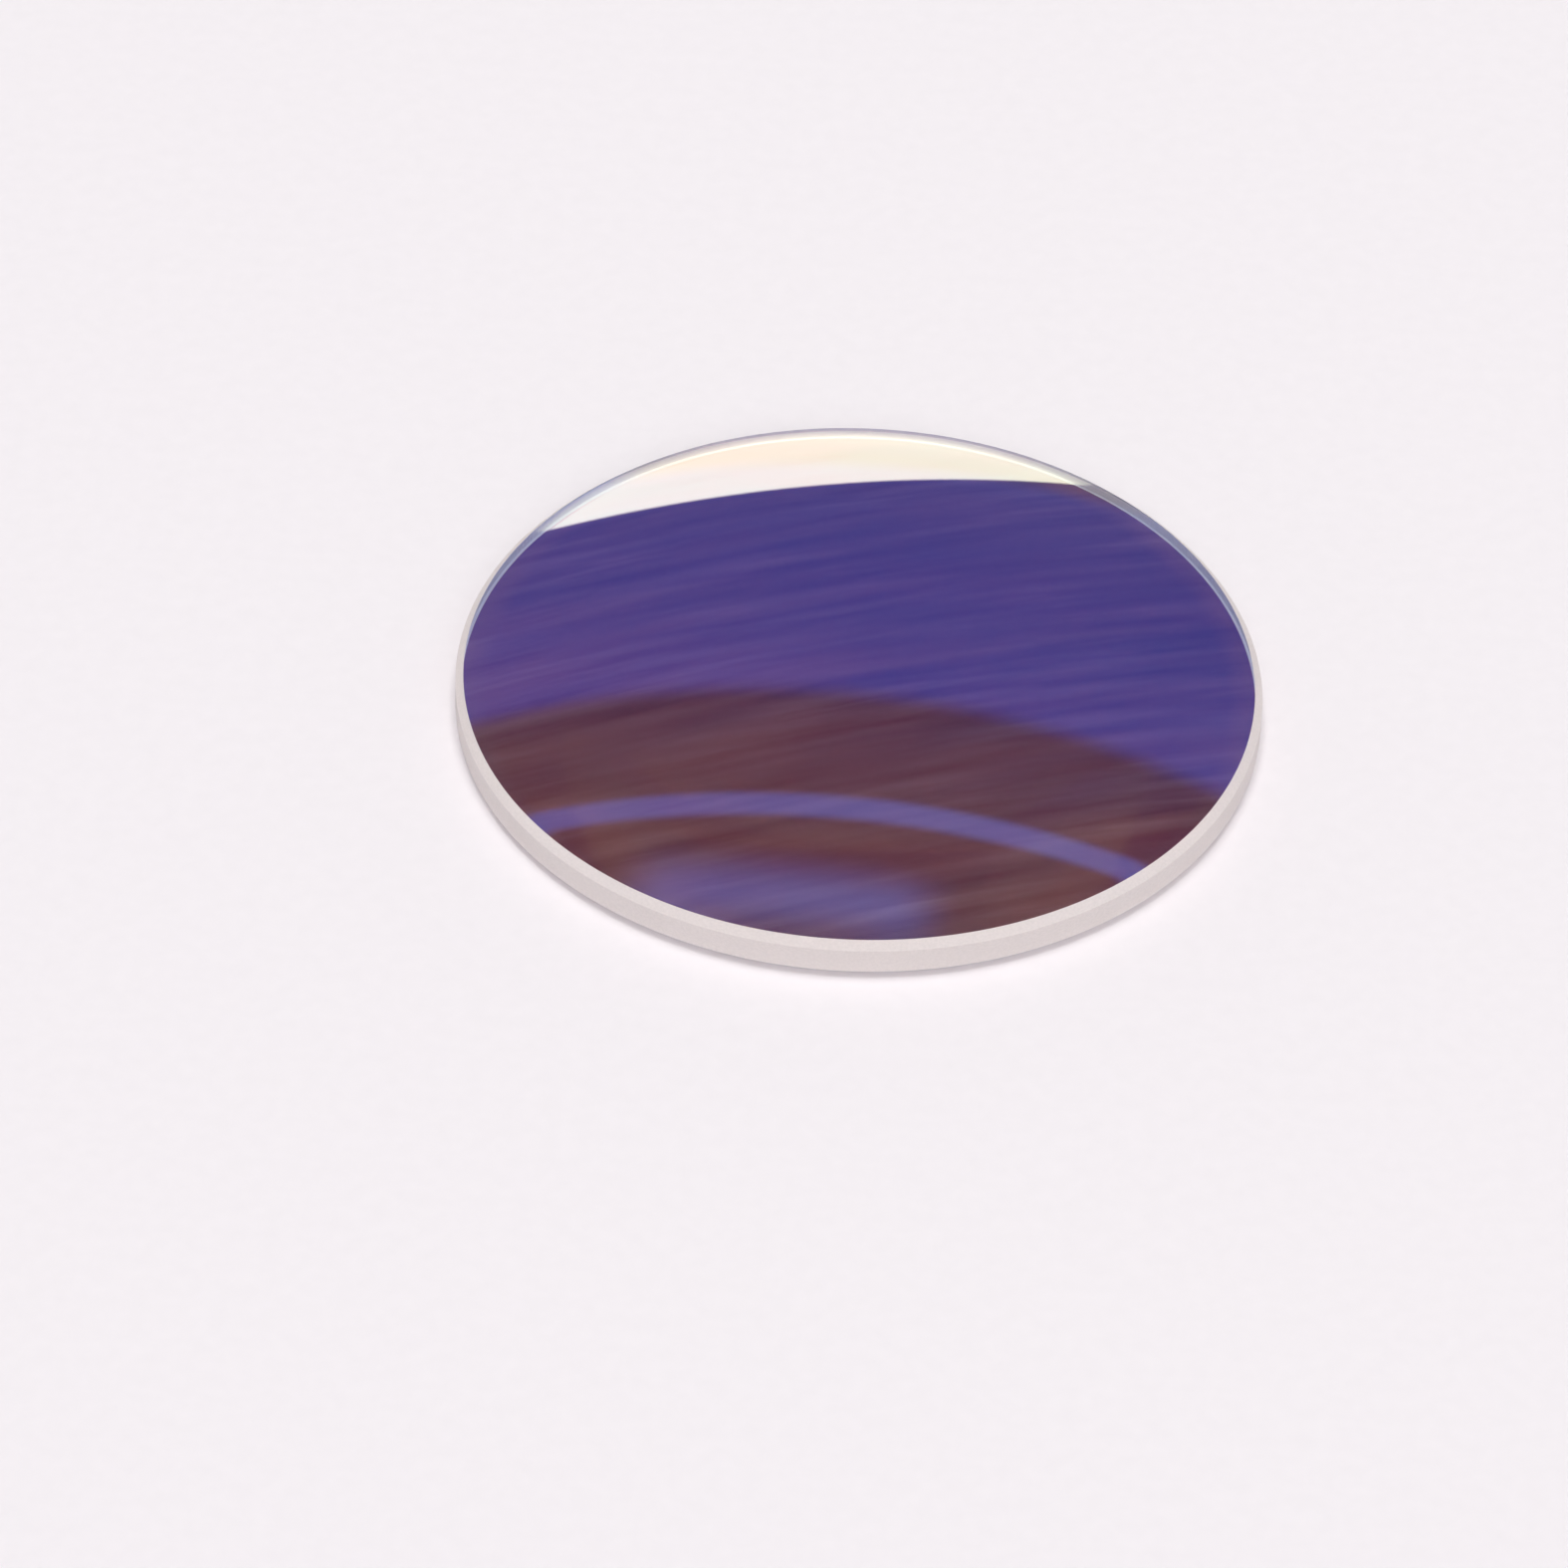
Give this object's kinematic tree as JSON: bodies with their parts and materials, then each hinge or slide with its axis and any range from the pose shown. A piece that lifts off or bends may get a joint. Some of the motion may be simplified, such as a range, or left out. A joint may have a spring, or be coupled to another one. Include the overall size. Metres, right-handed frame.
{
  "type": "plano-convex lens",
  "caption": "Round glass lens with a flat face, a gently domed face, a ground edge and bevelled rims; collects or collimates light.",
  "frame": {"origin": "centre of the flat face, which the lens rests on", "axes": "+Z along the optical axis, out of the convex face"},
  "size_m": [0.0254, 0.0254, 0.0028],
  "materials": {
    "coated_glass": "polished faces with a blue-violet antireflection coating; fine-ground edge and bevels"
  },
  "bodies": {
    "root": {"lens": "coated_glass"}
  },
  "joints": []
}
